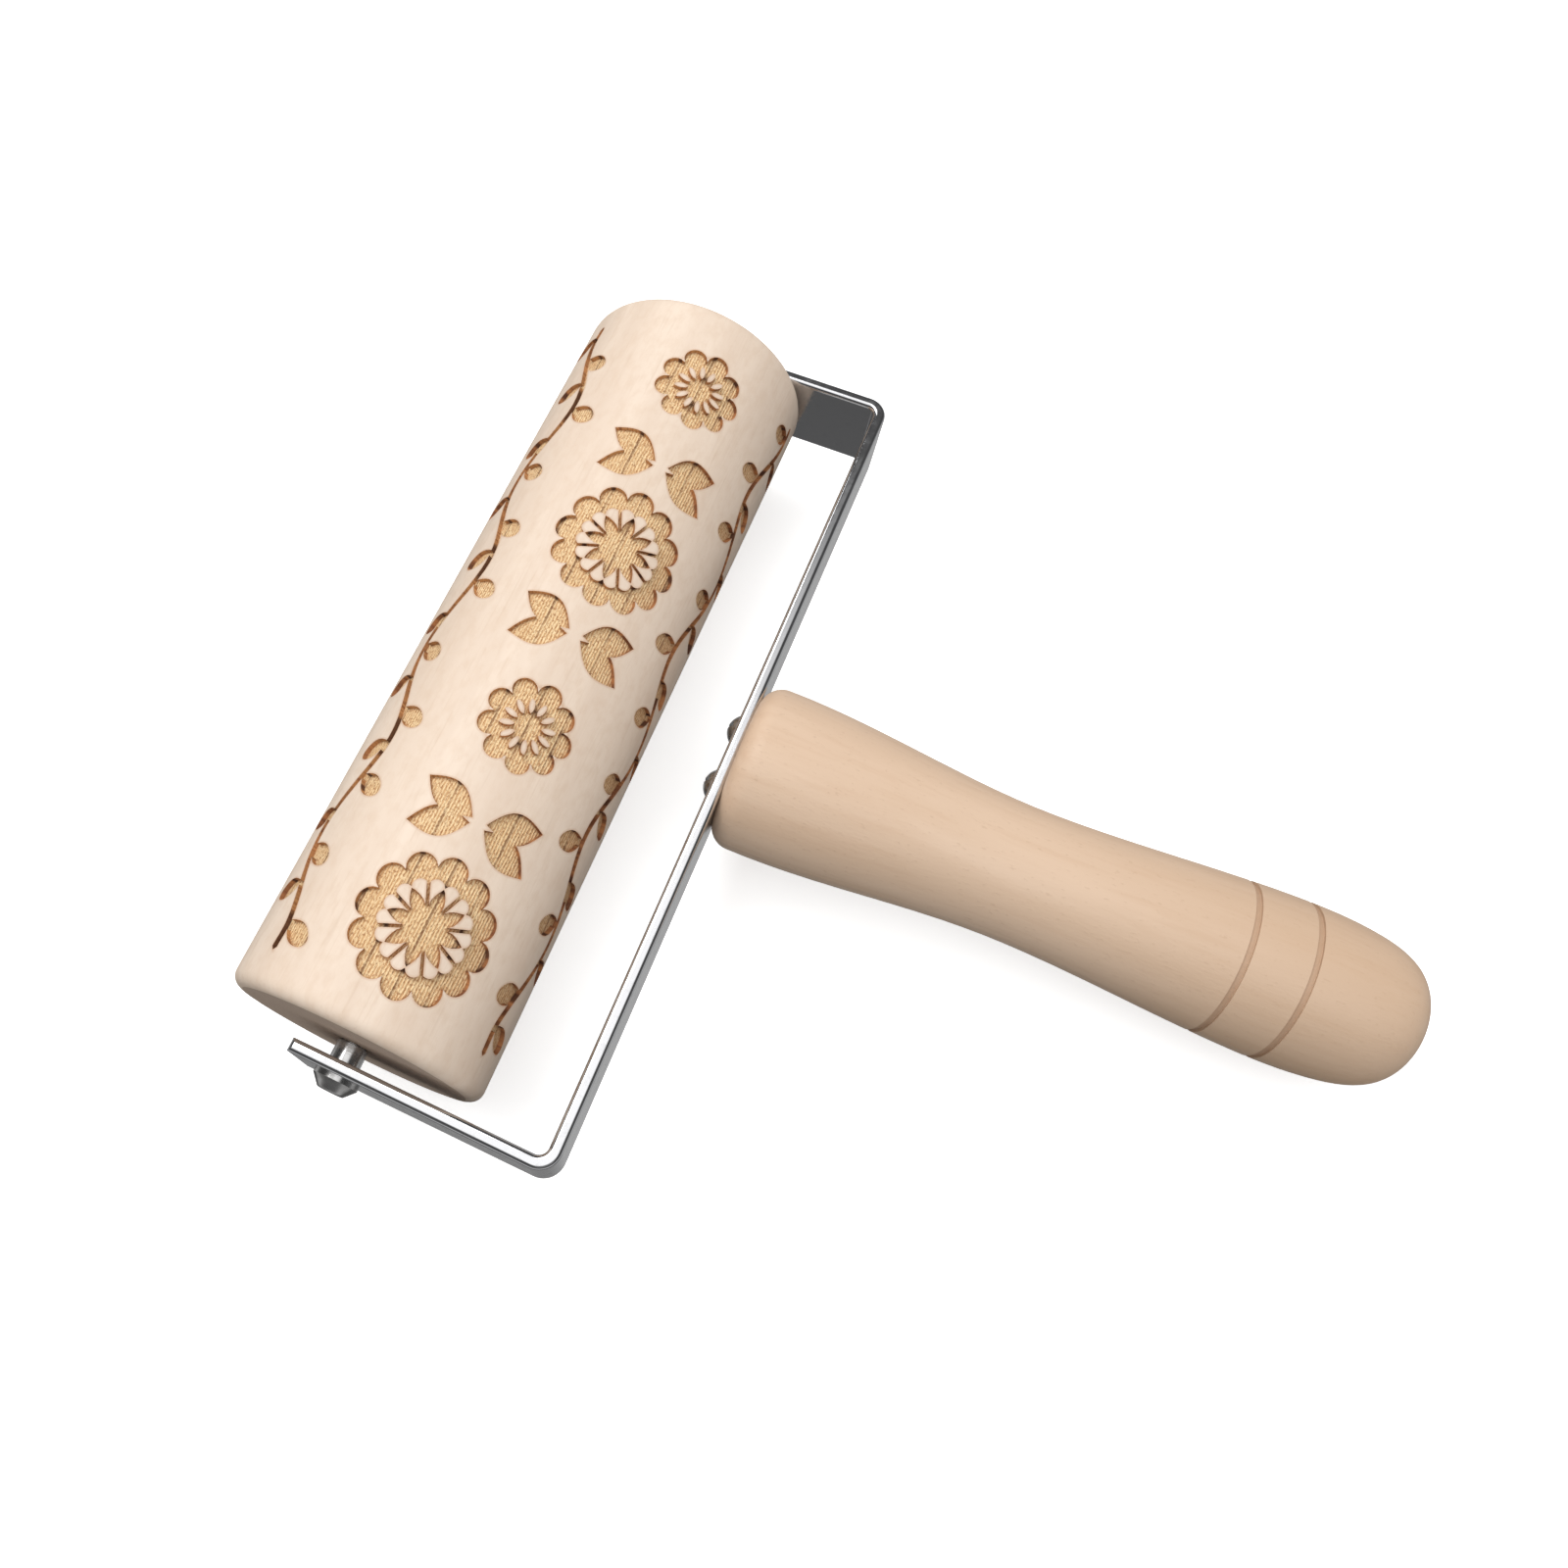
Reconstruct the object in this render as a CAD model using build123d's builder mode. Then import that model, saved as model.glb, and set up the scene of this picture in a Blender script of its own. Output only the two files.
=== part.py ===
from build123d import *
import os

# Hand pattern roller: an engraved wooden cylinder turns on a steel axle held between
# the arms of a U-bent strip, and a turned wooden handle is screwed to the strip's web.
#
# Units are millimetres.  The origin is on the roller axis, midway between the arms and
# in the mid-plane of the strip.  +X runs along the roller axis towards the axle's coned
# head, +Y runs from the roller to the handle, and +Z is up, square to the frame.

# ---- driving dimensions ----------------------------------------------------------------

# strip frame
STRIP_WIDTH = 15.0        # along Z
STRIP_THICK = 2.0
INNER_WIDTH = 133.2       # between the inner faces of the arms
WEB_INNER_Y = 32.2        # roller axis to the web's inner face
ARM_END_Y = -6.5          # free ends of the arms, just past the axle
BEND_INNER_R = 1.5
STRIP_EDGE_R = 0.7        # rolled long edges of the strip

# roller
ROLLER_R = 20.0
NEAR_GAP = 3.1            # roller end to the arm at +X
FAR_GAP = 0.7             # roller end to the arm at -X
ROLLER_EDGE_R = 2.0
RUNNING_FIT = 0.08        # radial clearance of the bore on the axle

# axle, its nut, spacer and washer
AXLE_R = 2.0
HOLE_FIT = 0.05           # radial clearance of a fixed shank in its hole
HEAD_R = 3.5
HEAD_WALL = 0.6           # straight wall under the cone
HEAD_TOP_R = 2.0
HEAD_TOP_ROUND = 0.5
HEAD_HEIGHT = 2.2
NUT_ACROSS_FLATS = 7.0
NUT_HEX_HEIGHT = 3.2
NUT_DOME_R = 3.2
NUT_HEIGHT = 6.0
NUT_THREAD_DEPTH = 4.0
AXLE_TAIL = 3.7           # axle length beyond the arm at -X
TAIL_CHAMFER = 0.4
SPACER_R = 2.4
WASHER_R = 4.5
END_PLAY = 0.2            # between a roller end and the spacer or washer

# handle: stations along +Y from the web's outer face, with the radius at each
HANDLE_LENGTH = 101.2
FACE_R = 10.6             # flat front face against the web
FLARE_R, FLARE_T = 13.25, 3.4
SHOULDER_RISE = (1, 0.25)  # direction in which the shoulder leaves the front face
WAIST_R, WAIST_T = 10.35, 42.0
SWELL_R, SWELL_T = 11.95, 80.0
CROWN_R, CROWN_T = 11.5, 90.5
NOSE_R, NOSE_T = 9.0, 97.9
GROOVE_STATIONS = (74.2, 82.5)
GROOVE_WIDTH = 0.9
GROOVE_DEPTH = 0.4

# screws through the web into the handle
SCREW_X = 5.0             # to each side of the handle's axis
SCREW_R = 1.5
SCREW_LENGTH = 22.0       # under the head
SCREW_TIP = 4.0
SCREW_HEAD_R = 2.6
SCREW_HEAD_HEIGHT = 1.6
SLOT_WIDTH = 0.7
SLOT_DEPTH = 0.7

TOUCH = 0.01              # tolerance for picking edges that lie on a plane

# ---- derived places --------------------------------------------------------------------

arm_in = INNER_WIDTH / 2
arm_out = arm_in + STRIP_THICK
web_out = WEB_INNER_Y + STRIP_THICK
roller_hi = arm_in - NEAR_GAP
roller_lo = -arm_in + FAR_GAP
roller_length = roller_hi - roller_lo
bore_r = AXLE_R + RUNNING_FIT
fixed_hole_r = AXLE_R + HOLE_FIT
screw_hole_r = SCREW_R + HOLE_FIT
head_top = arm_out + HEAD_HEIGHT
tail_end = -arm_out - AXLE_TAIL
nut_shoulder = -arm_out - NUT_HEX_HEIGHT
nut_top = -arm_out - NUT_HEIGHT

os.makedirs("parts", exist_ok=True)


def across_x(x):
    """Sketch plane square to the roller axis, facing +X."""
    return Plane.YZ.offset(x)


def dome_radius(base_r, height):
    """Radius of the ball whose cap has this base radius and height."""
    return (base_r**2 + height**2) / (2 * height)


# ---- frame: one flat strip bent to a square U ------------------------------------------

with BuildPart() as frame:
    with BuildSketch(Plane.XY.offset(-STRIP_WIDTH / 2)):
        with BuildLine():
            Polyline(
                (-arm_out, ARM_END_Y),
                (-arm_out, web_out),
                (arm_out, web_out),
                (arm_out, ARM_END_Y),
                (arm_in, ARM_END_Y),
                (arm_in, WEB_INNER_Y),
                (-arm_in, WEB_INNER_Y),
                (-arm_in, ARM_END_Y),
                close=True,
            )
        make_face()
    extrude(amount=STRIP_WIDTH)
    upright = frame.edges().filter_by(Axis.Z)
    fillet(upright.group_by(Axis.Y)[-1], BEND_INNER_R + STRIP_THICK)
    upright = frame.edges().filter_by(Axis.Z)
    on_web = upright.filter_by_position(Axis.Y, WEB_INNER_Y - TOUCH, WEB_INNER_Y + TOUCH)
    fillet(on_web, BEND_INNER_R)
    rims = frame.faces().group_by(Axis.Z)[0] + frame.faces().group_by(Axis.Z)[-1]
    fillet(rims.edges(), STRIP_EDGE_R)
    with Locations(across_x(0)):
        Cylinder(fixed_hole_r, 2 * arm_out + STRIP_THICK, mode=Mode.SUBTRACT)
    with Locations(Plane.XZ.offset(-web_out)):
        with Locations((-SCREW_X, 0), (SCREW_X, 0)):
            Hole(screw_hole_r, 2 * STRIP_THICK)

frame.part.label = "frame"
export_step(frame.part, "parts/frame.step")

# ---- roller: bored wooden cylinder with eased ends -------------------------------------

with BuildPart() as roller:
    with BuildSketch(across_x(roller_lo)):
        Circle(ROLLER_R)
        Circle(bore_r, mode=Mode.SUBTRACT)
    extrude(amount=roller_length)
    end_rims = roller.edges().filter_by(GeomType.CIRCLE).group_by(SortBy.RADIUS)[-1]
    fillet(end_rims, ROLLER_EDGE_R)

roller.part.label = "roller"
export_step(roller.part, "parts/roller.step")

# ---- axle: round rod with a low coned head outside the +X arm --------------------------

with BuildPart() as axle:
    with BuildSketch(Plane.XY):
        with BuildLine():
            Polyline(
                (head_top, 0),
                (tail_end, 0),
                (tail_end, AXLE_R),
                (arm_out, AXLE_R),
                (arm_out, HEAD_R),
                (arm_out + HEAD_WALL, HEAD_R),
                (head_top, HEAD_TOP_R),
                close=True,
            )
        make_face()
    revolve(axis=Axis.X)
    tail_rim = axle.edges().filter_by(GeomType.CIRCLE).sort_by(Axis.X)[0]
    chamfer(tail_rim, TAIL_CHAMFER)
    head_rim = axle.edges().filter_by(GeomType.CIRCLE).sort_by(Axis.X)[-1]
    fillet(head_rim, HEAD_TOP_ROUND)

axle.part.label = "axle"
export_step(axle.part, "parts/axle.step")

# ---- axle nut: domed cap nut outside the -X arm ----------------------------------------

with BuildPart() as axle_nut:
    with BuildSketch(across_x(-arm_out)):
        RegularPolygon(NUT_ACROSS_FLATS / 2, 6, major_radius=False)
    extrude(amount=-NUT_HEX_HEIGHT)
    with BuildSketch(Plane.XY):
        with BuildLine():
            outline = Polyline(
                (nut_top, 0),
                (nut_shoulder, 0),
                (nut_shoulder, NUT_DOME_R),
            )
            RadiusArc(outline @ 1, outline @ 0, -dome_radius(NUT_DOME_R, nut_shoulder - nut_top))
        make_face()
    revolve(axis=Axis.X)
    with Locations(across_x(-arm_out)):
        Cylinder(fixed_hole_r, 2 * NUT_THREAD_DEPTH, mode=Mode.SUBTRACT)

axle_nut.part.label = "axle_nut"
export_step(axle_nut.part, "parts/axle_nut.step")

# ---- spacer sleeve and washer: they keep the roller clear of the arms ------------------

with BuildPart() as axle_spacer:
    with BuildSketch(across_x(roller_hi + END_PLAY)):
        Circle(SPACER_R)
        Circle(fixed_hole_r, mode=Mode.SUBTRACT)
    extrude(amount=NEAR_GAP - END_PLAY)

axle_spacer.part.label = "axle_spacer"
export_step(axle_spacer.part, "parts/axle_spacer.step")

with BuildPart() as axle_washer:
    with BuildSketch(across_x(-arm_in)):
        Circle(WASHER_R)
        Circle(fixed_hole_r, mode=Mode.SUBTRACT)
    extrude(amount=FAR_GAP - END_PLAY)

axle_washer.part.label = "axle_washer"
export_step(axle_washer.part, "parts/axle_washer.step")

# ---- handle: turned wood, flat front face, waist, swell with grooves, rounded end ------

with BuildPart() as handle:
    with BuildSketch(Plane.XY):
        with BuildLine():
            front = Line((0, web_out), (FACE_R, web_out))
            shoulder = TangentArc(front @ 1, (FLARE_R, web_out + FLARE_T), tangent=SHOULDER_RISE)
            side = Spline(
                shoulder @ 1,
                (WAIST_R, web_out + WAIST_T),
                (SWELL_R, web_out + SWELL_T),
                (CROWN_R, web_out + CROWN_T),
                (NOSE_R, web_out + NOSE_T),
                (0, web_out + HANDLE_LENGTH),
                tangents=[(0, 1), (-1, 0)],
            )
            Line(side @ 1, front @ 0)
        make_face()
    revolve(axis=Axis.Y)
    with Locations(Plane.XZ.offset(-web_out)):
        with Locations((-SCREW_X, 0), (SCREW_X, 0)):
            Cylinder(screw_hole_r, 2 * SCREW_LENGTH, mode=Mode.SUBTRACT)

    for station in GROOVE_STATIONS:
        rim_r = side.intersect(Axis((0, web_out + station, 0), (1, 0, 0)))[0].X
        with BuildSketch(Plane.XZ.offset(-web_out - station)):
            Circle(FLARE_R)
            Circle(rim_r - GROOVE_DEPTH, mode=Mode.SUBTRACT)
        extrude(amount=GROOVE_WIDTH / 2, both=True, mode=Mode.SUBTRACT)

handle.part.label = "handle"
export_step(handle.part, "parts/handle.step")

# ---- handle screws: round heads on the web's inner face, points in the handle ----------


def screw_at(x):
    """A slotted round-head wood screw with its axis along +Y at this X."""
    with BuildPart() as screw:
        with BuildSketch(Plane.XY):
            with BuildLine():
                outline = Polyline(
                    (x, WEB_INNER_Y - SCREW_HEAD_HEIGHT),
                    (x, WEB_INNER_Y + SCREW_LENGTH),
                    (x + SCREW_R, WEB_INNER_Y + SCREW_LENGTH - SCREW_TIP),
                    (x + SCREW_R, WEB_INNER_Y),
                    (x + SCREW_HEAD_R, WEB_INNER_Y),
                )
                RadiusArc(outline @ 1, outline @ 0, dome_radius(SCREW_HEAD_R, SCREW_HEAD_HEIGHT))
            make_face()
        revolve(axis=Axis((x, 0, 0), (0, 1, 0)))
        with Locations((x, WEB_INNER_Y - SCREW_HEAD_HEIGHT, 0)):
            Box(SLOT_WIDTH, 2 * SLOT_DEPTH, 3 * SCREW_HEAD_R, mode=Mode.SUBTRACT)
    return screw.part


for name, x in (("handle_screw_near", SCREW_X), ("handle_screw_far", -SCREW_X)):
    handle_screw = screw_at(x)
    handle_screw.label = name
    export_step(handle_screw, f"parts/{name}.step")
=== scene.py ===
"""Looks of the engraved wooden pattern roller: the carved roller, finishes, studio light and camera.

Everything is in metres in the CAD frame: +X runs along the roller to the axle's domed head, +Y runs
from the roller to the handle, +Z is up.  The engraving is drawn in millimetres on the unrolled roller:
u runs along it from the far (-X) end, v runs round it from the top (+Z) towards the handle (+Y).
"""
import math

import bmesh
import bpy
import numpy as np
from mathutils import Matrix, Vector
from mathutils.geometry import delaunay_2d_cdt
from mathutils.kdtree import KDTree


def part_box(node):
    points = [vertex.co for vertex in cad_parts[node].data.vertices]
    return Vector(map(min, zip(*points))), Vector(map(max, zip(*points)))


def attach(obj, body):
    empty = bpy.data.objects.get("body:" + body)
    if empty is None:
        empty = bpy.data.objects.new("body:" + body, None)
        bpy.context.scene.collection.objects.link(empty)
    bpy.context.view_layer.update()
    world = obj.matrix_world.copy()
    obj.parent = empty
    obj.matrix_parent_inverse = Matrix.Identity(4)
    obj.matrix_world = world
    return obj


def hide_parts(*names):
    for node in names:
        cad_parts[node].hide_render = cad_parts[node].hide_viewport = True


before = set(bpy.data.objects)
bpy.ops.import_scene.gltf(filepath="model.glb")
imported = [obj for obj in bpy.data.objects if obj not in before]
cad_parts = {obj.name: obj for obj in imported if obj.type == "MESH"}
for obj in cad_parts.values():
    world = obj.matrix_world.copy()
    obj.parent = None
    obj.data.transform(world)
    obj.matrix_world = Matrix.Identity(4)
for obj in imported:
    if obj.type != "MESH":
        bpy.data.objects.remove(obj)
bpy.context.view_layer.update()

MM = 0.001

# ------------------------------------------------------------------ sizes read from the frame
roller_low, roller_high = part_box("roller")
handle_low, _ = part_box("handle")
ROLLER_FAR = roller_low.x / MM
ROLLER_NEAR = roller_high.x / MM
ROLLER_LENGTH = ROLLER_NEAR - ROLLER_FAR
ROLLER_R = roller_high.z / MM
GIRTH = 2 * math.pi * ROLLER_R

# ------------------------------------------------------------------ engraving, in mm
ENGRAVE_DEPTH = 0.7
EDGE_ROUND = 2.0             # the CAD roller's rim fillet
BORE_R = 2.08                # the CAD roller's bore
BORE_CHAMFER = 0.4
SEAM_V = 35.6                # where the unrolled surface closes, on the handle side
RING_SEGMENTS = 180
END_ARC_STEPS = 6
OUTLINE_STEP = 0.45          # between points of a curve
POINT_GAP = 0.22             # closer points are dropped
RIM_OFFSET = 0.38            # width of the scorched rim beside a cut
GRID_STEP = 1.0              # between points of plain surface
RIM_CLEARANCE = 0.85 * RIM_OFFSET
GRID_CLEARANCE = 0.55 * GRID_STEP
MERGE_DISTANCE = 2e-6        # metres

# beam marks, in mm
BURN_PITCH = 5.03
BURN_PHASE = 1.2
SCAN_PITCH = 0.5
# where the painted shade round the roller is lightest, on the side the key light falls on
LIT_SIDE_V = -4.0


# ================================================================== outlines on the unrolled roller
def spline(points, fine=14):
    """A smooth open curve through the points."""
    p = np.array(points, float)
    ext = np.vstack([2 * p[0] - p[1], p, 2 * p[-1] - p[-2]])
    t = (np.arange(fine) / fine)[:, None]
    runs = []
    for a, b, c, d in zip(ext, ext[1:], ext[2:], ext[3:]):
        runs.append(0.5 * (2 * b + (c - a) * t + (2 * a - 5 * b + 4 * c - d) * t**2
                           + (3 * b - a - 3 * c + d) * t**3))
    return np.vstack(runs + [p[-1:]])


def even_steps(line, step):
    """The same line with points an even distance apart."""
    gaps = np.hypot(*np.diff(line, axis=0).T)
    run = np.concatenate([[0], np.cumsum(gaps)])
    count = max(2, round(run[-1] / step))
    at = np.linspace(0, run[-1], count + 1)
    return np.column_stack([np.interp(at, run, col) for col in line.T])


def thinned(points, gap=POINT_GAP):
    """The points without those that sit nearly on the one before."""
    kept = [points[0]]
    for p in points[1:]:
        if np.hypot(*(p - kept[-1])) > gap:
            kept.append(p)
    if len(kept) > 3 and np.hypot(*(kept[0] - kept[-1])) < gap:
        kept.pop()
    return np.array(kept)


def leaf(base, tip, width, fullest=0.5, base_end=1.0, tip_end=1.0):
    """A leaf from base to tip.  An end of 1 is pointed and 0.5 is round."""
    base, tip = np.array(base, float), np.array(tip, float)
    along = tip - base
    length = np.hypot(*along)
    side = np.array([-along[1], along[0]]) / length
    count = max(8, math.ceil(length / OUTLINE_STEP))
    t = (1 - np.cos(np.pi * np.arange(count + 1) / count)) / 2
    spine = base + t[:, None] * along
    swell = np.sin(np.pi * t ** (math.log(0.5) / math.log(fullest))).clip(0)
    half = (width / 2 * swell ** (base_end + (tip_end - base_end) * t))[:, None]
    left = thinned(spine + side * half)
    right = thinned((spine - side * half)[::-1])
    return thinned(np.vstack([left, right]))


def drop(base, tip, width, fullest=0.57):
    """A leaflet with a pointed base on the stem and a round tip."""
    return leaf(base, tip, width, fullest=fullest, base_end=0.8, tip_end=0.45)


def scallops(centre, ru, rv, lobes, turn=90.0, depth=1.03):
    """A round outline of equal lobes that meet in notches; the first lobe points at turn degrees."""
    half = math.pi / lobes
    lobe_r = depth * math.sin(half)
    across = 2 * math.pi * (ru + rv) / 2 / lobes * 1.35
    count = max(4, round(across / OUTLINE_STEP))
    phi = np.linspace(-half, half, count, endpoint=False)
    radius = (np.cos(phi) + np.sqrt((lobe_r**2 - np.sin(phi) ** 2).clip(0))) / (1 + lobe_r)
    points = []
    for k in range(lobes):
        a = math.radians(turn) + 2 * half * k + phi
        points.append(np.column_stack([centre[0] + ru * radius * np.cos(a),
                                       centre[1] + rv * radius * np.sin(a)]))
    return np.vstack(points)


def oval(centre, ru, rv):
    count = max(10, round(2 * math.pi * max(ru, rv) / OUTLINE_STEP))
    a = 2 * math.pi * np.arange(count) / count
    return np.column_stack([centre[0] + ru * np.cos(a), centre[1] + rv * np.sin(a)])


def stroke(points, width):
    """A ribbon of even width along a smooth line, with pointed caps."""
    line = even_steps(spline(points), OUTLINE_STEP)
    ahead = np.gradient(line, axis=0)
    ahead /= np.hypot(*ahead.T)[:, None]
    side = np.column_stack([-ahead[:, 1], ahead[:, 0]])
    half = width / 2
    left = line + side * half
    right = line - side * half
    lead = line[0] - ahead[0] * half
    end = line[-1] + ahead[-1] * half
    return thinned(np.vstack([lead[None], left, end[None], right[::-1]]))


class Engraving:
    """Shapes in painter's order: a later one cuts into, or stands up out of, the ones before."""

    def __init__(self):
        self.shapes = []

    def cut(self, *outlines):
        self.shapes += [(True, o) for o in outlines]

    def keep(self, *outlines):
        self.shapes += [(False, o) for o in outlines]

    def polar(self, centre, ru, rv, angle, r):
        a = math.radians(angle)
        return (centre[0] + ru * r * math.cos(a), centre[1] + rv * r * math.sin(a))

    def rosette(self, centre, ru, rv, petals, core, turn=90.0):
        """Raised heart-shaped petals split by fine cuts, each with a kite cut up its middle."""
        self.keep(scallops(centre, ru, rv, 2 * petals, turn + 90 / petals, depth=1.08))
        mean = (ru + rv) / 2

        def at(angle, r):
            return self.polar(centre, ru, rv, angle, r)

        for k in range(petals):
            middle = turn + 360 / petals * k
            between = middle + 180 / petals
            self.cut(stroke([at(between, core), at(between, 0.93)], 0.075 * mean))
            self.cut(leaf(at(middle, core * 0.8), at(middle, 0.86), 0.30 * mean, fullest=0.42))
        self.cut(oval(centre, 1.3 * ru * core, 1.3 * rv * core))

    def seed_ring(self, centre, inner, outer, count, width):
        """Raised seeds standing in a ring."""
        for k in range(count):
            angle = 360 / count * (k + 0.5)
            self.keep(leaf(self.polar(centre, 1, 1, angle, inner),
                           self.polar(centre, 1, 1, angle, outer),
                           width, base_end=0.6, tip_end=0.6))


# a stock flower-and-vine repeat, worked out from the roller's own size
REPEATS_ROUND = 3
MOTIFS_ALONG = 7
MOTIF_PITCH = ROLLER_LENGTH / (MOTIFS_ALONG + 1)
REPEAT_V = GIRTH / REPEATS_ROUND
FLOWER_ROW_V = 12.5          # from the start of a repeat
VINE_ROW_V = 32.6
VINE_END = 6.0
VINE_SWAY = 2.4
VINE_WAVES = 4
LEAFLETS_ALONG = 20


def draw_flower(e, centre, large):
    if large:
        e.cut(scallops(centre, 10.5, 10.5, 12))
        e.rosette(centre, 6.8, 6.8, 8, core=0.3)
    else:
        e.cut(scallops(centre, 7.4, 7.4, 9, depth=1.01))
        e.seed_ring(centre, 2.0, 4.4, 12, 0.9)


def draw_leaf_cross(e, centre):
    """Two pairs of overlapping leaves that open away from a point, one pair on each side."""
    for along in (-3.6, 3.6):
        for around in (-9.4, 9.4):
            foot = (centre[0] + 0.12 * along, centre[1] + 0.12 * around)
            e.cut(leaf(foot, (centre[0] + along, centre[1] + around), 4.6))


def draw_vine(e, middle_v, phase):
    """A waving stem along the roller with leaflets on both sides."""
    def stem_v(u):
        return middle_v + VINE_SWAY * math.sin(2 * math.pi * VINE_WAVES * u / ROLLER_LENGTH + phase)

    reach = ROLLER_LENGTH - 2 * VINE_END
    steps = 8 * VINE_WAVES
    e.cut(stroke([(VINE_END + reach * i / steps, stem_v(VINE_END + reach * i / steps))
                  for i in range(steps + 1)], 1.1))
    for i in range(LEAFLETS_ALONG):
        u = VINE_END + reach * (i + 0.3) / LEAFLETS_ALONG
        side = 1 if i % 2 else -1
        e.cut(drop((u, stem_v(u)), (u + 2.6, stem_v(u) + 5.2 * side), 3.3))


def draw_pattern(e):
    """Rows of flowers and leaf crosses, staggered from row to row, with a vine between the rows."""
    for row in range(REPEATS_ROUND):
        start_v = SEAM_V - GIRTH + REPEAT_V * row
        for place in range(MOTIFS_ALONG):
            centre = (MOTIF_PITCH * (place + 1), start_v + FLOWER_ROW_V)
            if (place + row) % 2:
                draw_leaf_cross(e, centre)
            else:
                draw_flower(e, centre, large=(place + row) % 4 == 0)
        draw_vine(e, start_v + VINE_ROW_V, math.pi * row)


# ================================================================== carving the roller
def inside(points, outline):
    """Which points lie inside an outline, by winding number."""
    found = np.zeros(len(points), bool)
    low, high = outline.min(0), outline.max(0)
    near = np.nonzero(((points >= low) & (points <= high)).all(1))[0]
    if not len(near):
        return found
    p = points[near]
    winding = np.zeros(len(p), int)
    for a, b in zip(outline, np.roll(outline, -1, axis=0)):
        side = (b[0] - a[0]) * (p[:, 1] - a[1]) - (p[:, 0] - a[0]) * (b[1] - a[1])
        winding += (a[1] <= p[:, 1]) & (b[1] > p[:, 1]) & (side > 0)
        winding -= (a[1] > p[:, 1]) & (b[1] <= p[:, 1]) & (side < 0)
    found[near] = winding != 0
    return found


def strip_mesh(shapes):
    """Triangulates the unrolled surface along every outline and says which triangles are engraved."""
    low_u, high_u = EDGE_ROUND, ROLLER_LENGTH - EDGE_ROUND
    low_v, high_v = SEAM_V - GIRTH, SEAM_V
    border_v = low_v + GIRTH * np.arange(RING_SEGMENTS + 1) / RING_SEGMENTS
    border_v[-1] = high_v
    border_u = np.linspace(low_u, high_u, round((high_u - low_u) / GRID_STEP) + 1)
    border = [(low_u, v) for v in border_v] + [(u, high_v) for u in border_u[1:]]
    border += [(high_u, v) for v in border_v[-2::-1]] + [(u, low_v) for u in border_u[-2:0:-1]]
    loops = [np.array(border)] + [outline for _, outline in shapes]

    fixed = np.vstack(loops)
    edges = []
    start = 0
    for loop in loops:
        ids = start + np.arange(len(loop))
        edges += list(zip(ids.tolist(), np.roll(ids, -1).tolist()))
        start += len(loop)

    # a row of points either side of each outline keeps the scorched rim narrow
    rims = []
    for loop in loops[1:]:
        ahead = np.roll(loop, -1, axis=0) - np.roll(loop, 1, axis=0)
        ahead /= np.maximum(np.hypot(*ahead.T), 1e-9)[:, None]
        side = np.column_stack([-ahead[:, 1], ahead[:, 0]]) * RIM_OFFSET
        rims += [loop + side, loop - side]
    grid_u, grid_v = np.meshgrid(
        np.arange(low_u + GRID_STEP / 2, high_u, GRID_STEP),
        np.arange(low_v + GRID_STEP / 2, high_v, GRID_STEP))
    grid = np.column_stack([grid_u.ravel(), grid_v.ravel()])

    def clear_of(points, others, gap):
        tree = KDTree(len(others))
        for i, p in enumerate(others):
            tree.insert((p[0], p[1], 0.0), i)
        tree.balance()
        return np.array([p for p in points if tree.find((p[0], p[1], 0.0))[2] > gap])

    rim = clear_of(np.vstack(rims), fixed, RIM_CLEARANCE)
    grown = []
    cells = set()
    for p in rim:
        cell = (round(p[0] / RIM_OFFSET), round(p[1] / RIM_OFFSET))
        if cell not in cells:
            cells.add(cell)
            grown.append(p)
    rim = np.array(grown)
    grid = clear_of(grid, np.vstack([fixed, rim]), GRID_CLEARANCE)
    every = np.vstack([fixed, rim, grid])
    ok = ((every[:, 0] >= low_u) & (every[:, 0] <= high_u)
          & (every[:, 1] >= low_v) & (every[:, 1] <= high_v))
    if not ok[:len(fixed)].all():
        raise ValueError("an outline leaves the unrolled roller")
    every = every[ok]

    points, _, faces, *_ = delaunay_2d_cdt(
        [Vector(p) for p in every], edges, [], 0, 1e-5)
    points = np.array([tuple(p) for p in points])
    faces = np.array([tuple(f) for f in faces])
    a, b, c = (points[faces[:, k]] for k in range(3))
    area = (b[:, 0] - a[:, 0]) * (c[:, 1] - a[:, 1]) - (c[:, 0] - a[:, 0]) * (b[:, 1] - a[:, 1])
    faces[area < 0] = faces[area < 0][:, ::-1]
    faces = faces[abs(area) > 1e-9]
    middle = points[faces].mean(1)
    engraved = np.zeros(len(faces), bool)
    for cuts, outline in shapes:
        engraved[inside(middle, outline)] = cuts
    return points, faces, engraved


def on_roller(u, v, radius):
    """A point of the unrolled drawing on a cylinder of that radius, in metres."""
    angle = v / ROLLER_R
    return np.column_stack([ROLLER_FAR + u, radius * np.sin(angle), radius * np.cos(angle)]) * MM


def end_profile():
    """Stations (u, radius) from the far rim round both ends through the bore to the near rim."""
    arc = [math.pi / 2 * k / END_ARC_STEPS for k in range(END_ARC_STEPS + 1)]
    rim = [(EDGE_ROUND * (1 - math.sin(a)), ROLLER_R - EDGE_ROUND * (1 - math.cos(a))) for a in arc]
    flat = [(0.0, r) for r in (14.0, 9.0, 5.0, BORE_R + BORE_CHAMFER)]
    far = rim + flat + [(BORE_CHAMFER, BORE_R)]
    inner = [(ROLLER_LENGTH * k / 6, BORE_R) for k in range(1, 6)]
    near = [(ROLLER_LENGTH - u, r) for u, r in reversed(far)]
    return far + inner + near


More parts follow.
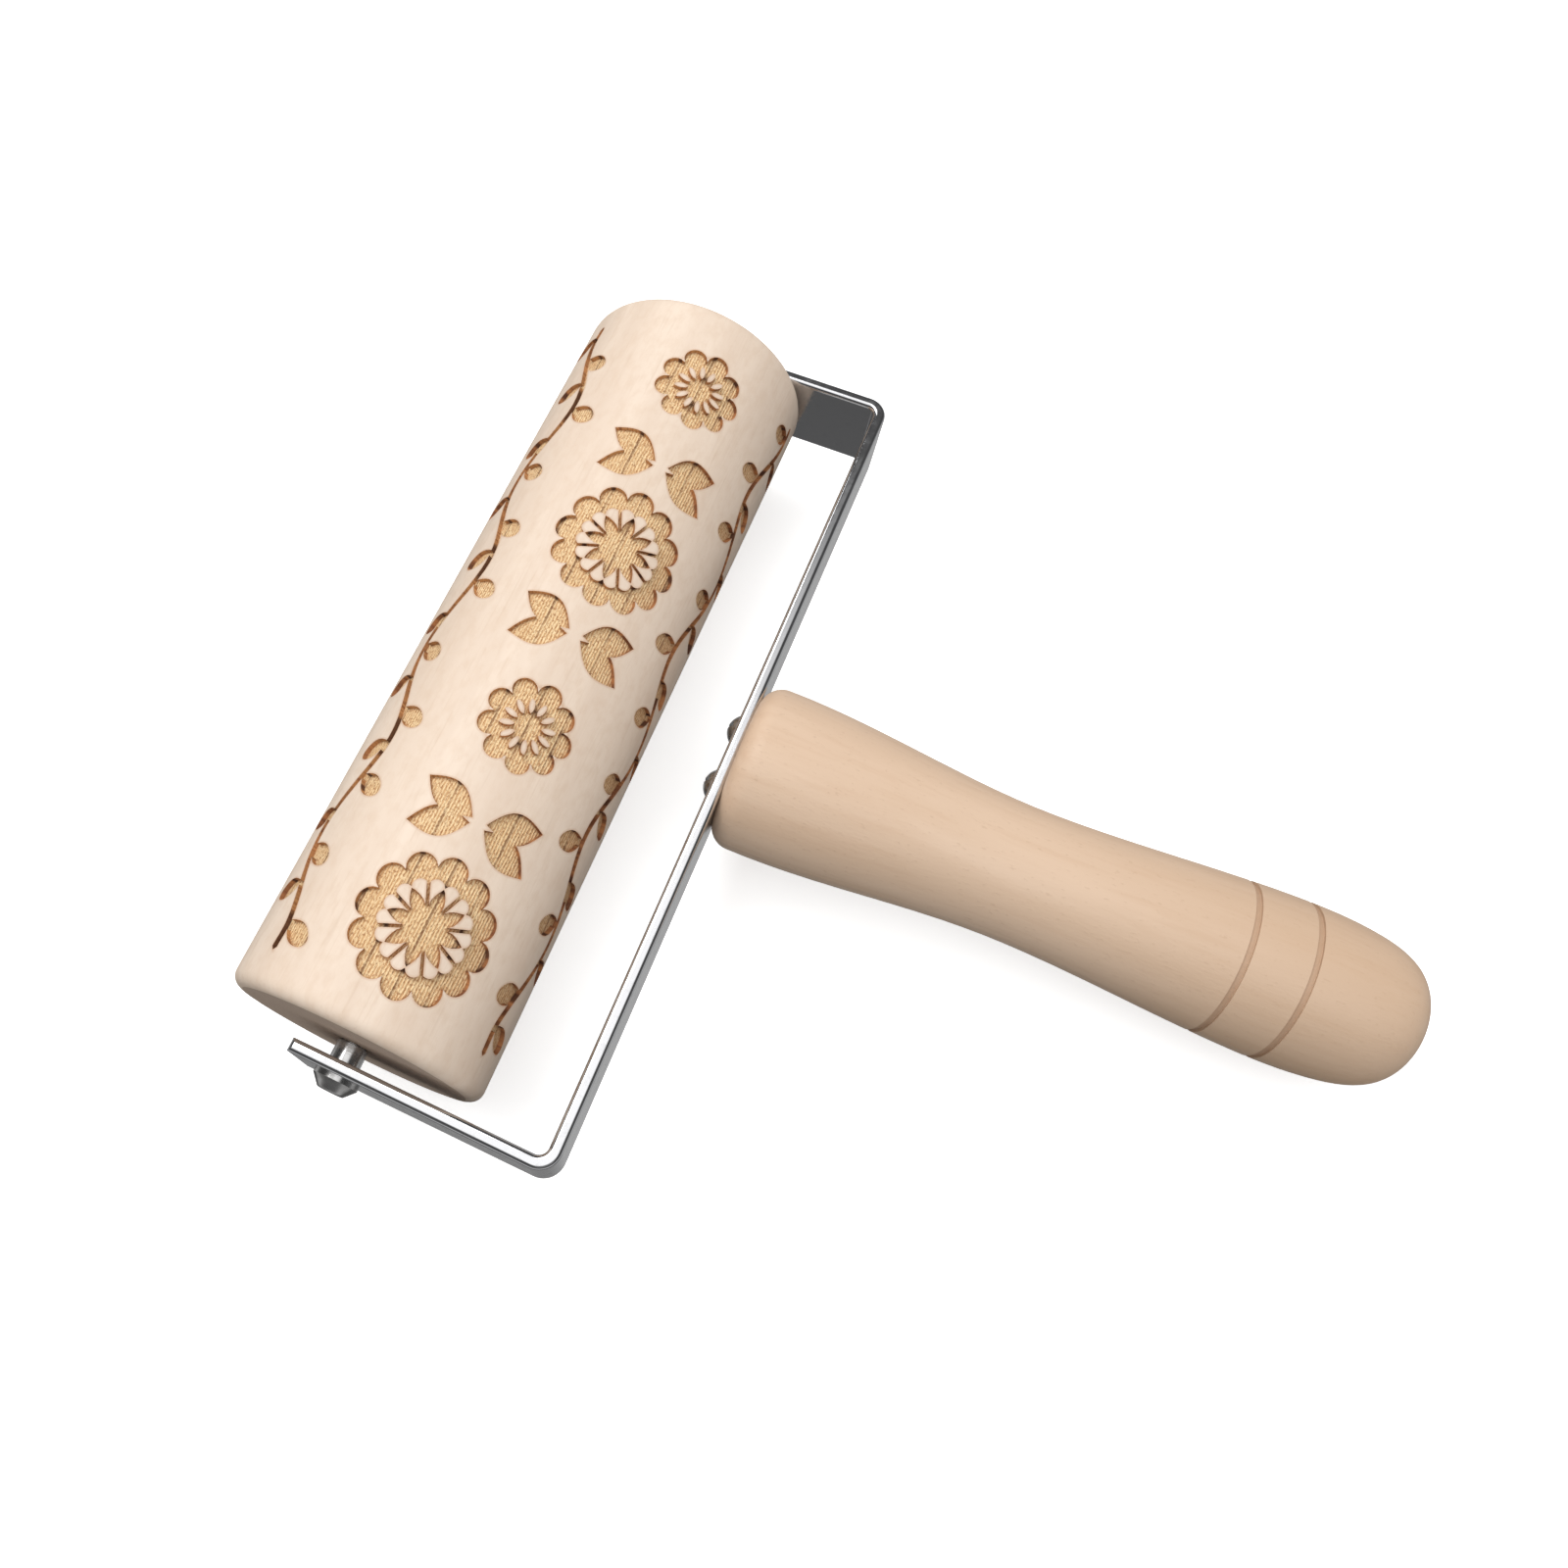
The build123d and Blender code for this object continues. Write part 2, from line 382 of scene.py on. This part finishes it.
def carve_roller():
    """One watertight mesh: plain surface, sunk floors, scorched walls between them, ends and bore."""
    drawing = Engraving()
    draw_pattern(drawing)
    points, faces, engraved = strip_mesh(drawing.shapes)

    count = len(points)
    top = on_roller(points[:, 0], points[:, 1], ROLLER_R)
    floor = on_roller(points[:, 0], points[:, 1], ROLLER_R - ENGRAVE_DEPTH)
    polygons = (faces + np.where(engraved, count, 0)[:, None]).tolist()
    finish = engraved.astype(int).tolist()

    owner = {}
    for i, face in enumerate(faces.tolist()):
        for a, b in zip(face, face[1:] + face[:1]):
            owner[a, b] = i
    burn = np.zeros(2 * count)
    sharp = set()
    for (a, b), i in owner.items():
        j = owner.get((b, a))
        if j is None or engraved[i] or not engraved[j]:
            continue
        polygons.append([b, a, a + count, b + count])
        finish.append(2)
        sharp |= {frozenset((a, b)), frozenset((a + count, b + count))}
        burn[[a, b, a + count, b + count]] = 1.0

    verts = [*top, *floor]
    start = len(verts)
    ring_v = SEAM_V - GIRTH + GIRTH * np.arange(RING_SEGMENTS) / RING_SEGMENTS
    stations = end_profile()
    for u, radius in stations:
        verts += list(on_roller(np.full(RING_SEGMENTS, u), ring_v, radius))
    for s in range(len(stations) - 1):
        ring = start + s * RING_SEGMENTS
        for k in range(RING_SEGMENTS):
            a = ring + k
            b = ring + (k + 1) % RING_SEGMENTS
            polygons.append([a, b, b + RING_SEGMENTS, a + RING_SEGMENTS])
            finish.append(0 if s < END_ARC_STEPS or s >= len(stations) - 1 - END_ARC_STEPS else 3)
    burn = np.concatenate([burn, np.zeros(len(verts) - start)])
    return verts, polygons, finish, burn, sharp


def build_roller():
    verts, polygons, finish, burn, sharp = carve_roller()
    mesh = bpy.data.meshes.new("carved_roller")
    mesh.from_pydata([tuple(v) for v in verts], [], polygons)
    mesh.polygons.foreach_set("material_index", finish)
    mesh.attributes.new("burn", "FLOAT", "POINT").data.foreach_set("value", burn)
    bm = bmesh.new()
    bm.from_mesh(mesh)
    for face in bm.faces:
        face.smooth = True
    for edge in bm.edges:
        if frozenset((edge.verts[0].index, edge.verts[1].index)) in sharp:
            edge.smooth = False
    bmesh.ops.delete(bm, geom=[v for v in bm.verts if not v.link_faces], context="VERTS")
    bmesh.ops.remove_doubles(bm, verts=bm.verts, dist=MERGE_DISTANCE)
    for edge in bm.edges:
        if {f.material_index for f in edge.link_faces} == {0, 3}:
            edge.smooth = False
    bm.to_mesh(mesh)
    bm.free()
    roller = bpy.data.objects.new("engraved_roller", mesh)
    bpy.context.scene.collection.objects.link(roller)
    return roller


# ================================================================== materials
def rgb(red, green, blue):
    """A screen colour, 0 to 255, as the shader's linear colour."""
    def linear(c):
        c /= 255
        return c / 12.92 if c <= 0.04045 else ((c + 0.055) / 1.055) ** 2.4
    return (linear(red), linear(green), linear(blue), 1.0)


class Shader:
    """A Principled material with short helpers for its nodes."""

    def __init__(self, name, roughness=0.5, metallic=0.0):
        self.material = bpy.data.materials.new(name)
        self.material.use_nodes = True
        self.tree = self.material.node_tree
        self.tree.nodes.clear()
        self.out = self.add("OutputMaterial")
        self.bsdf = self.add("BsdfPrincipled")
        self.bsdf.inputs["Roughness"].default_value = roughness
        self.bsdf.inputs["Metallic"].default_value = metallic
        self.tree.links.new(self.bsdf.outputs[0], self.out.inputs["Surface"])
        self.object = self.add("TexCoord").outputs["Object"]

    def add(self, kind):
        return self.tree.nodes.new("ShaderNode" + kind)

    def put(self, value, socket):
        """Links an output to a socket, or sets the socket to a number or colour."""
        if isinstance(value, bpy.types.NodeSocket):
            self.tree.links.new(value, socket)
        else:
            socket.default_value = value

    def stretch(self, vector, scale):
        node = self.add("Mapping")
        self.put(vector, node.inputs["Vector"])
        node.inputs["Scale"].default_value = scale
        return node.outputs[0]

    def noise(self, vector, scale=1.0, detail=3.0, rough=0.5):
        node = self.add("TexNoise")
        self.put(vector, node.inputs["Vector"])
        node.inputs["Scale"].default_value = scale
        node.inputs["Detail"].default_value = detail
        node.inputs["Roughness"].default_value = rough
        return node.outputs["Fac"]

    def math(self, operation, a, b=0.0, c=0.0, clamp=False):
        node = self.add("Math")
        node.operation = operation
        node.use_clamp = clamp
        for value, socket in zip((a, b, c), node.inputs):
            self.put(value, socket)
        return node.outputs[0]

    def spread(self, value, low, high, to_low=0.0, to_high=1.0):
        """Maps low..high to to_low..to_high smoothly and holds the ends."""
        node = self.add("MapRange")
        node.interpolation_type = "SMOOTHSTEP"
        self.put(value, node.inputs["Value"])
        for name, v in (("From Min", low), ("From Max", high), ("To Min", to_low), ("To Max", to_high)):
            node.inputs[name].default_value = v
        return node.outputs[0]

    def mix(self, factor, a, b):
        node = self.add("Mix")
        node.data_type = "RGBA"
        self.put(factor, node.inputs["Factor"])
        self.put(a, [s for s in node.inputs if s.name == "A" and s.type == "RGBA"][0])
        self.put(b, [s for s in node.inputs if s.name == "B" and s.type == "RGBA"][0])
        return [s for s in node.outputs if s.type == "RGBA"][0]

    def attribute(self, name):
        node = self.add("Attribute")
        node.attribute_name = name
        return node.outputs["Fac"]

    def bump(self, height, strength, distance):
        node = self.add("Bump")
        node.inputs["Strength"].default_value = strength
        node.inputs["Distance"].default_value = distance
        self.put(height, node.inputs["Height"])
        self.put(node.outputs[0], self.bsdf.inputs["Normal"])

    def colour(self, value):
        self.put(value, self.bsdf.inputs["Base Color"])

    def rough(self, value):
        self.put(value, self.bsdf.inputs["Roughness"])

    def unrolled(self):
        """Millimetres along the roller and round it."""
        split = self.add("SeparateXYZ")
        self.put(self.object, split.inputs[0])
        join = self.add("CombineXYZ")
        along = self.math("MULTIPLY", split.outputs["X"], 1 / MM)
        angle = self.math("ARCTAN2", split.outputs["Y"], split.outputs["Z"])
        around = self.math("MULTIPLY", angle, ROLLER_R)
        self.put(along, join.inputs["X"])
        self.put(around, join.inputs["Y"])
        return join.outputs[0], around


def scan_boundary(s, around):
    """Distance in mm from the nearest line between two passes of the engraving beam."""
    phase = s.math("DIVIDE", s.math("SUBTRACT", around, BURN_PHASE), BURN_PITCH)
    off = s.math("SUBTRACT", s.math("FRACT", s.math("ADD", phase, 0.5)), 0.5)
    return s.math("MULTIPLY", s.math("ABSOLUTE", off), BURN_PITCH)


def side_shade(s, around):
    """Painted shade, 0 to 1: darkest on the side turned from the key light, towards the handle, rising
    and falling twice round the roller.
    """
    turn = s.math("MULTIPLY", s.math("SUBTRACT", around, LIT_SIDE_V), 4 * math.pi / GIRTH)
    return s.math("MULTIPLY_ADD", s.math("COSINE", turn), -0.5, 0.5)


def wood_surface():
    """Pale sanded wood of the roller, tanned beside the scorched edges."""
    s = Shader("roller_pale_wood", roughness=0.55)
    broad = s.noise(s.stretch(s.object, (14, 150, 150)), detail=3)
    fine = s.noise(s.stretch(s.object, (90, 2200, 2200)), detail=3)
    mottle = s.noise(s.stretch(s.object, (420, 700, 700)), detail=4, rough=0.6)
    tone = s.mix(s.spread(broad, 0.3, 0.7), rgb(225, 204, 184), rgb(235, 216, 197))
    tone = s.mix(s.spread(mottle, 0.4, 0.7, 0.0, 0.35), tone, rgb(216, 190, 165))
    tone = s.mix(s.spread(fine, 0.56, 0.78, 0.0, 0.25), tone, rgb(202, 176, 150))
    rim = s.math("MULTIPLY", s.attribute("burn"), 0.45)
    s.colour(s.mix(rim, tone, rgb(190, 140, 96)))
    s.rough(s.spread(fine, 0.3, 0.8, 0.48, 0.66))
    s.bump(fine, 0.25, 0.00012)
    return s.material


def engraved_floor():
    """Tan laser-cut floor: fine scan rows, scattered dark dots, a broken dark line every few mm, and
    painted shade on the side turned from the key light.
    """
    s = Shader("roller_engraved_floor", roughness=0.8)
    flat, around = s.unrolled()
    wander = s.noise(s.stretch(flat, (0.25, 0.6, 1)), detail=2)
    turn = s.math("MULTIPLY_ADD", wander, 5.0, s.math("MULTIPLY", around, 2 * math.pi / SCAN_PITCH))
    rows = s.math("MULTIPLY_ADD", s.math("SINE", turn), 0.5, 0.5)
    uneven = s.noise(s.stretch(flat, (1.1, 2.6, 1)), detail=3, rough=0.65)
    dots = s.noise(s.stretch(flat, (2.2, 3.6, 1)), detail=3, rough=0.6)
    broad = s.noise(s.stretch(flat, (0.07, 0.16, 1)), detail=3)
    tone = s.mix(rows, rgb(204, 158, 108), rgb(249, 218, 170))
    tone = s.mix(s.spread(uneven, 0.52, 0.36, 0.0, 0.8), tone, rgb(252, 226, 180))
    tone = s.mix(s.spread(broad, 0.35, 0.7, 0.0, 0.25), tone, rgb(214, 172, 120))
    tone = s.mix(s.spread(dots, 0.50, 0.62, 0.0, 0.8), tone, rgb(164, 112, 70))
    # painted shade: the floor darkens on the side of the roller turned from the key light
    tone = s.mix(s.spread(side_shade(s, around), 0.35, 0.95, 0.0, 0.34), tone, rgb(158, 104, 66))
    burn = s.attribute("burn")
    away = scan_boundary(s, around)
    presence = s.noise(s.stretch(flat, (0.22, 0.2, 1)), detail=3)
    strength = s.math("MULTIPLY", s.spread(presence, 0.36, 0.6, 0.25, 0.8),
                      s.spread(dots, 0.3, 0.6, 0.55, 1.0))
    line = s.math("MULTIPLY", s.spread(away, 0.05, 0.28, 1.0, 0.0), strength)
    tone = s.mix(line, tone, rgb(122, 76, 44))
    edge = s.math("POWER", burn, 1.6)
    tone = s.mix(s.math("MULTIPLY", edge, 0.5), tone, rgb(168, 114, 68))
    # where a scan boundary meets the edge of a cut the beam dwells and leaves a knot
    knot = s.math("MULTIPLY", s.spread(away, 0.2, 0.55, 1.0, 0.0), edge)
    s.colour(s.mix(s.math("MULTIPLY", knot, 0.9), tone, rgb(84, 46, 26)))
    height = s.math("SUBTRACT", s.math("MULTIPLY_ADD", rows, 0.6, uneven), line)
    s.bump(height, 0.7, 0.0002)
    return s.material


def burnt_wall():
    """Scorched side of a cut: brown, with small dark knots where the beam dwelt, and a paler tone where
    the key light falls as painted light, the brown deepening as painted shade on the side turned from
    it.
    """
    s = Shader("roller_scorched_wall", roughness=0.75)
    flat, around = s.unrolled()
    patch = s.noise(s.stretch(flat, (0.5, 0.9, 1)), detail=3)
    streak = s.noise(s.stretch(flat, (2.6, 2.6, 1)), detail=2)
    tone = s.mix(s.spread(patch, 0.36, 0.64), rgb(120, 72, 42), rgb(178, 120, 74))
    tone = s.mix(s.spread(streak, 0.5, 0.75, 0.0, 0.5), tone, rgb(84, 46, 28))
    # painted light and shade: a paler wall tone on the side the key light falls on, the scorched brown
    # on the side turned from it
    pale = s.mix(s.spread(streak, 0.45, 0.7), rgb(204, 152, 100), rgb(158, 102, 60))
    tone = s.mix(s.spread(side_shade(s, around), 0.1, 0.6), pale, tone)
    knot = s.spread(scan_boundary(s, around), 0.2, 0.5, 0.85, 0.0)
    s.colour(s.mix(knot, tone, rgb(72, 38, 22)))
    s.bump(streak, 0.4, 0.0002)
    return s.material


def end_grain():
    """Sawn ends and bore: rings and pores across the grain, in a tone darker than the side wood, partly
    the end grain's own colour and partly painted shade.
    """
    s = Shader("roller_end_grain", roughness=0.7)
    shifted = s.add("Mapping")
    s.put(s.object, shifted.inputs["Vector"])
    shifted.inputs["Location"].default_value = (0.0, 0.019, 0.031)
    shifted.inputs["Scale"].default_value = (0.0, 1.0, 1.0)
    rings = s.add("TexWave")
    rings.wave_type = "RINGS"
    rings.rings_direction = "X"
    s.put(shifted.outputs[0], rings.inputs["Vector"])
    rings.inputs["Scale"].default_value = 150
    rings.inputs["Distortion"].default_value = 2.2
    rings.inputs["Detail"].default_value = 3
    pores = s.noise(s.stretch(s.object, (200, 3000, 3000)), detail=2)
    # the end tone is partly the end grain's own darker colour and partly painted shade of the shaded
    # ends
    tone = s.mix(s.spread(rings.outputs["Fac"], 0.1, 0.9), rgb(190, 168, 150), rgb(196, 175, 157))
    s.colour(s.mix(s.spread(pores, 0.55, 0.75, 0.0, 0.5), tone, rgb(160, 132, 110)))
    s.bump(pores, 0.4, 0.00015)
    return s.material


HANDLE_FACE_Y = handle_low.y
GROOVE_STATIONS = (74.2, 82.5)
GROOVES_Y = [HANDLE_FACE_Y + station * MM for station in GROOVE_STATIONS]
GROOVE_HALF_WIDTH = 0.45 * MM


def handle_wood():
    """Turned beech: long grain, short flecks, a darker gripped end and two darker grooves."""
    s = Shader("handle_beech", roughness=0.5)
    broad = s.noise(s.stretch(s.object, (110, 9, 110)), detail=4)
    grain = s.noise(s.stretch(s.object, (700, 28, 700)), detail=4, rough=0.6)
    flecks = s.noise(s.stretch(s.object, (2600, 900, 2600)), detail=3)
    tone = s.mix(s.spread(broad, 0.32, 0.68), rgb(216, 187, 160), rgb(226, 199, 174))
    tone = s.mix(s.spread(grain, 0.45, 0.72, 0.0, 0.3), tone, rgb(204, 170, 140))
    tone = s.mix(s.spread(flecks, 0.6, 0.74, 0.0, 0.28), tone, rgb(180, 144, 114))
    split = s.add("SeparateXYZ")
    s.put(s.object, split.inputs[0])
    grip = s.spread(split.outputs["Y"], HANDLE_FACE_Y + 0.040, HANDLE_FACE_Y + 0.085, 0.0, 0.55)
    tone = s.mix(grip, tone, rgb(196, 164, 134))
    for y in GROOVES_Y:
        away = s.math("ABSOLUTE", s.math("SUBTRACT", split.outputs["Y"], y))
        inside_groove = s.spread(away, GROOVE_HALF_WIDTH * 0.5, GROOVE_HALF_WIDTH * 1.1, 0.3, 0.0)
        tone = s.mix(inside_groove, tone, rgb(150, 108, 74))
    s.colour(tone)
    s.rough(s.spread(grain, 0.3, 0.75, 0.42, 0.6))
    s.bump(flecks, 0.25, 0.00015)
    return s.material


def plated_strip():
    """Bright nickel-plated strip with a faint drawn grain and small stains."""
    s = Shader("bright_plated_strip", roughness=0.14, metallic=1.0)
    drawn = s.noise(s.stretch(s.object, (60, 60, 5200)), detail=3)
    stain = s.noise(s.stretch(s.object, (700, 700, 700)), detail=4, rough=0.65)
    tone = s.mix(s.spread(stain, 0.5, 0.75, 0.0, 0.3), rgb(226, 226, 228), rgb(176, 176, 178))
    s.colour(tone)
    s.rough(s.spread(stain, 0.35, 0.75, 0.08, 0.2))
    s.bump(drawn, 0.12, 0.00006)
    return s.material


def fastener_steel():
    """Machined fasteners, a little duller than the strip."""
    s = Shader("turned_fastener_steel", roughness=0.2, metallic=1.0)
    turned = s.noise(s.stretch(s.object, (2600, 500, 500)), detail=3)
    stain = s.noise(s.stretch(s.object, (420, 420, 420)), detail=4)
    s.colour(s.mix(s.spread(stain, 0.4, 0.75), rgb(206, 205, 204), rgb(150, 148, 146)))
    s.rough(s.spread(stain, 0.3, 0.75, 0.12, 0.34))
    s.bump(turned, 0.15, 0.00006)
    return s.material


def studio_floor():
    """Pale paper that glows slightly, so that shadows on it stay faint."""
    s = Shader("studio_paper", roughness=0.9)
    tooth = s.noise(s.stretch(s.object, (40, 40, 40)), detail=3)
    s.colour(s.mix(tooth, rgb(243, 243, 243), rgb(247, 247, 247)))
    s.bsdf.inputs["Emission Color"].default_value = (1.0, 1.0, 1.0, 1.0)
    s.bsdf.inputs["Emission Strength"].default_value = FLOOR_GLOW
    return s.material


def paint_node(name, material):
    """Gives a CAD node its finish in every one of its material slots."""
    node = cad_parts[name]
    if not node.data.materials:
        node.data.materials.append(material)
    for slot in node.material_slots:
        slot.material = material


# ================================================================== the object
roller = build_roller()
for make in (wood_surface, engraved_floor, burnt_wall, end_grain):
    roller.data.materials.append(make())
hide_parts("roller")
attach(roller, "roller")

beech = handle_wood()
plating = plated_strip()
steel = fastener_steel()
paint_node("handle", beech)
paint_node("frame", plating)
for part in ("axle", "axle_nut", "axle_spacer", "axle_washer",
             "handle_screw_near", "handle_screw_far"):
    paint_node(part, steel)

# ================================================================== studio
# the roller and the handle's swell both rest on the floor, so it leans a little in the CAD frame
SWELL_STATION = 80.0
SWELL_Y = HANDLE_FACE_Y + SWELL_STATION * MM
SWELL_R = 11.95 * MM
FLOOR_TILT = math.asin((ROLLER_R * MM - SWELL_R) / SWELL_Y)
FLOOR_GAP = 0.0002
FLOOR_HALF = 12.0
FLOOR_GLOW = 0.55


def add_floor():
    half = FLOOR_HALF
    mesh = bpy.data.meshes.new("studio_floor")
    corners = [(-half, -half, 0), (half, -half, 0), (half, half, 0), (-half, half, 0)]
    mesh.from_pydata(corners, [], [(0, 1, 2, 3)])
    mesh.materials.append(studio_floor())
    floor = bpy.data.objects.new("studio_floor", mesh)
    bpy.context.scene.collection.objects.link(floor)
    drop_to = ROLLER_R * MM + FLOOR_GAP
    floor.rotation_euler.x = FLOOR_TILT
    floor.location = (0, drop_to * math.sin(FLOOR_TILT), -drop_to * math.cos(FLOOR_TILT))
    floor.visible_glossy = False
    floor.visible_diffuse = False


# grey of the studio from straight down (0) to straight up (1): as it lights, and as metal mirrors it
LIGHT_STOPS = ((0.0, 0.20), (0.12, 0.08), (0.22, 0.02), (0.42, 0.02), (0.47, 0.62), (0.57, 0.55),
               (0.66, 0.25), (0.78, 0.30), (0.90, 1.0))
MIRROR_STOPS = ((0.0, 0.16), (0.10, 0.08), (0.17, 0.06), (0.26, 0.36), (0.40, 0.42), (0.48, 0.10),
                (0.60, 0.10), (0.72, 0.04), (0.90, 0.06), (0.96, 0.85), (1.0, 1.0))
BACKDROP = 0.80
LOW_PATCH = 0.30
WORLD_STRENGTH = 1.30


class WorldNodes:
    """The studio's node tree, with short helpers."""

    def __init__(self, world):
        world.use_nodes = True
        self.tree = world.node_tree
        self.tree.nodes.clear()

    def add(self, kind):
        return self.tree.nodes.new("ShaderNode" + kind)

    def link(self, output, socket):
        self.tree.links.new(output, socket)

    def ramp(self, value, stops):
        node = self.add("ValToRGB")
        self.link(value, node.inputs[0])
        points = node.color_ramp.elements
        while len(points) < len(stops):
            points.new(0.5)
        for point, (place, grey) in zip(points, stops):
            point.position = place
            point.color = (grey, grey, grey, 1)
        return node.outputs[0]

    def between(self, value, start, end):
        node = self.add("MapRange")
        node.interpolation_type = "SMOOTHSTEP"
        node.inputs["From Min"].default_value = start
        node.inputs["From Max"].default_value = end
        self.link(value, node.inputs["Value"])
        return node.outputs[0]

    def product(self, a, b):
        node = self.add("Math")
        node.operation = "MULTIPLY"
        self.link(a, node.inputs[0])
        self.link(b, node.inputs[1])
        return node.outputs[0]

    def mix(self, factor, a, b):
        node = self.add("Mix")
        node.data_type = "RGBA"
        colours = [s for s in node.inputs if s.type == "RGBA"]
        self.link(factor, node.inputs["Factor"])
        self.link(a, colours[0])
        if isinstance(b, bpy.types.NodeSocket):
            self.link(b, colours[1])
        else:
            colours[1].default_value = (b, b, b, 1)
        return [s for s in node.outputs if s.type == "RGBA"][0]


def add_world():
    """A soft studio: white overhead, a dim band round it and a pale horizon."""
    world = bpy.data.worlds.new("studio")
    bpy.context.scene.world = world
    w = WorldNodes(world)
    split = w.add("SeparateXYZ")
    w.link(w.add("TexCoord").outputs["Generated"], split.inputs[0])
    height = w.add("Math")
    height.operation = "MULTIPLY_ADD"
    height.inputs[1].default_value = 0.5
    height.inputs[2].default_value = 0.5
    w.link(split.outputs["Z"], height.inputs[0])
    light = w.ramp(height.outputs[0], LIGHT_STOPS)
    mirror = w.ramp(height.outputs[0], MIRROR_STOPS)
    # a pale patch low on the far side, seen in the outer face of the strip
    low = w.between(split.outputs["Z"], -0.45, -0.75)
    far = w.between(split.outputs["X"], 0.12, -0.10)
    mirror = w.mix(w.product(low, far), mirror, LOW_PATCH)
    back = w.add("Background")
    back.inputs["Strength"].default_value = WORLD_STRENGTH
    path = w.add("LightPath")
    grey = w.mix(path.outputs["Is Glossy Ray"], light, mirror)
    w.link(w.mix(path.outputs["Is Camera Ray"], grey, BACKDROP), back.inputs["Color"])
    w.link(back.outputs[0], w.add("OutputWorld").inputs["Surface"])


def add_area(name, at, size, power):
    data = bpy.data.lights.new(name, "AREA")
    data.shape = "SQUARE"
    data.size = size
    data.energy = power
    lamp = bpy.data.objects.new(name, data)
    bpy.context.scene.collection.objects.link(lamp)
    lamp.location = at
    aim = Vector((0.0, 0.05, 0.0)) - Vector(at)
    lamp.rotation_euler = aim.to_track_quat("-Z", "Y").to_euler()


CAMERA_AT = (0.0779, 0.0459, 0.1850)
CAMERA_TURN = (23.47, 2.22, 114.88)
CAMERA_LENS = 29.2
CAMERA_SHIFT = (0.149, -0.030)


def add_camera():
    data = bpy.data.cameras.new("photo_camera")
    data.sensor_width = 36.0
    data.lens = CAMERA_LENS
    data.shift_x, data.shift_y = CAMERA_SHIFT
    data.clip_start = 0.01
    camera = bpy.data.objects.new("photo_camera", data)
    bpy.context.scene.collection.objects.link(camera)
    camera.location = CAMERA_AT
    camera.rotation_euler = [math.radians(a) for a in CAMERA_TURN]
    bpy.context.scene.camera = camera


add_floor()
add_world()
add_area("key", (-0.30, -0.45, 0.85), 0.6, 4.1)
add_area("fill", (0.55, 0.45, 0.80), 0.8, 0.3)
add_camera()
bpy.context.scene.view_settings.view_transform = "Standard"
